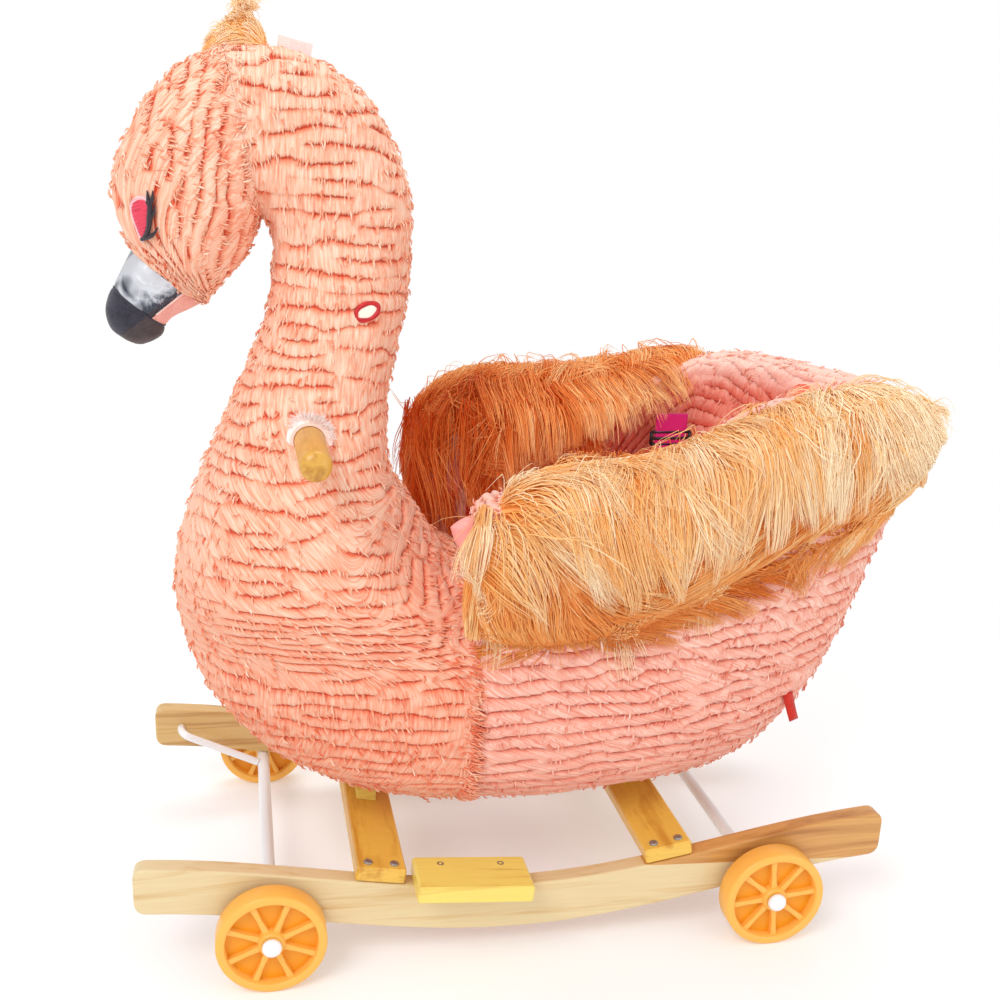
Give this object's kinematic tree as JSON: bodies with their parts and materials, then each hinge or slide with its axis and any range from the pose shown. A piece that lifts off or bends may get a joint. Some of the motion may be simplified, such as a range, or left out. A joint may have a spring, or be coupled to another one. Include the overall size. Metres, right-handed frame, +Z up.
{
  "type": "plush rocking animal ride-on",
  "caption": "Plush wading-bird ride-on for a toddler on a wooden rocker base, with wheel frames that flip over so that it rolls or rocks.",
  "frame": {"origin": "on the floor, under the middle of the overall length and width", "axes": "+Z up, -X towards the beak, +X towards the back rest, -Y the left side of the bird"},
  "size_m": [0.7097, 0.392, 0.761],
  "materials": {
    "pale_wood": "clear varnished pine",
    "gold_wood": "golden varnished pine",
    "plywood": "raw plywood",
    "white_steel": "white powder coat",
    "yellow_plastic": "moulded, satin",
    "white_plastic": "moulded, gloss",
    "black_plastic": "moulded",
    "coral_plush": "short rippled plush",
    "blonde_fur": "long pile fur",
    "silver_fabric": "silver coated cloth",
    "pink_fabric": "satin",
    "charcoal_felt": "felt",
    "white_lining": "soft lining",
    "red_thread": "embroidered",
    "magenta_webbing": "woven webbing"
  },
  "bodies": {
    "body": {"back_board": "plywood", "back_pad": "coral_plush", "base_board": "plywood", "beak_lower": "pink_fabric", "beak_tip": "charcoal_felt", "beak_upper": "silver_fabric", "belt_left": "magenta_webbing", "belt_right": "magenta_webbing", "breast": "coral_plush", "buckle_body": "black_plastic", "crest": "blonde_fur", "footrest_left": "gold_wood", "footrest_right": "gold_wood", "front_batten": "gold_wood", "front_cross_bar": "gold_wood", "front_pedestal": "plywood", "handle_bar": "gold_wood", "handle_collar_left": "white_lining", "handle_collar_right": "white_lining", "head": "coral_plush", "head_label": "white_lining", "neck": "coral_plush", "neck_board": "plywood", "rear_batten": "gold_wood", "rear_cross_bar": "gold_wood", "rear_pedestal": "plywood", "runner_left": "pale_wood", "runner_right": "pale_wood", "seat_board": "plywood", "seat_cushion": "coral_plush", "seat_tub": "coral_plush", "side_board_left": "plywood", "side_board_right": "plywood", "side_label": "red_thread", "side_pad_left": "coral_plush", "side_pad_right": "coral_plush", "sound_box": "white_plastic", "wing_left": "blonde_fur", "wing_right": "blonde_fur"},
    "front_frame": {"front_axle": "white_steel", "front_arm_left": "white_steel", "front_arm_right": "white_steel", "front_cap_left": "white_plastic", "front_cap_right": "white_plastic"},
    "rear_frame": {"rear_axle": "white_steel", "rear_arm_left": "white_steel", "rear_arm_right": "white_steel", "rear_cap_left": "white_plastic", "rear_cap_right": "white_plastic"},
    "front_left_wheel": {"front_wheel_left": "yellow_plastic"},
    "front_right_wheel": {"front_wheel_right": "yellow_plastic"},
    "rear_left_wheel": {"rear_wheel_left": "yellow_plastic"},
    "rear_right_wheel": {"rear_wheel_right": "yellow_plastic"},
    "press_button": {"press_patch": "red_thread"},
    "slider": {"belt_slider": "black_plastic"},
    "tongue": {"buckle_tongue": "black_plastic"}
  },
  "joints": [
    {"name": "front_frame_flip", "type": "hinge", "parent": "body", "child": "front_frame", "pos_m": [-0.3195, 0, 0.085], "axis": [0, 1, 0], "range_deg": [0, 325.5]},
    {"name": "rear_frame_flip", "type": "hinge", "parent": "body", "child": "rear_frame", "pos_m": [0.2795, 0, 0.085], "axis": [0, -1, 0], "range_deg": [0, 248]},
    {"name": "front_left_wheel_spin", "type": "hinge", "parent": "front_frame", "child": "front_left_wheel", "pos_m": [-0.237, -0.168, 0.045], "axis": [0, 1, 0], "continuous": true},
    {"name": "front_right_wheel_spin", "type": "hinge", "parent": "front_frame", "child": "front_right_wheel", "pos_m": [-0.237, 0.168, 0.045], "axis": [0, 1, 0], "continuous": true},
    {"name": "rear_left_wheel_spin", "type": "hinge", "parent": "rear_frame", "child": "rear_left_wheel", "pos_m": [0.197, -0.168, 0.045], "axis": [0, 1, 0], "continuous": true},
    {"name": "rear_right_wheel_spin", "type": "hinge", "parent": "rear_frame", "child": "rear_right_wheel", "pos_m": [0.197, 0.168, 0.045], "axis": [0, 1, 0], "continuous": true},
    {"name": "press_button_slide", "type": "slide", "parent": "body", "child": "press_button", "axis": [0, 1, 0], "range_m": [0, 0.003], "stiffness_N_per_m": 500},
    {"name": "belt_slider_slide", "type": "slide", "parent": "body", "child": "slider", "axis": [0, 0, 1], "range_m": [-0.03, 0.012]},
    {"name": "buckle_tongue_pull", "type": "slide", "parent": "body", "child": "tongue", "axis": [0, 1, 0], "range_m": [0, 0.0093]}
  ]
}
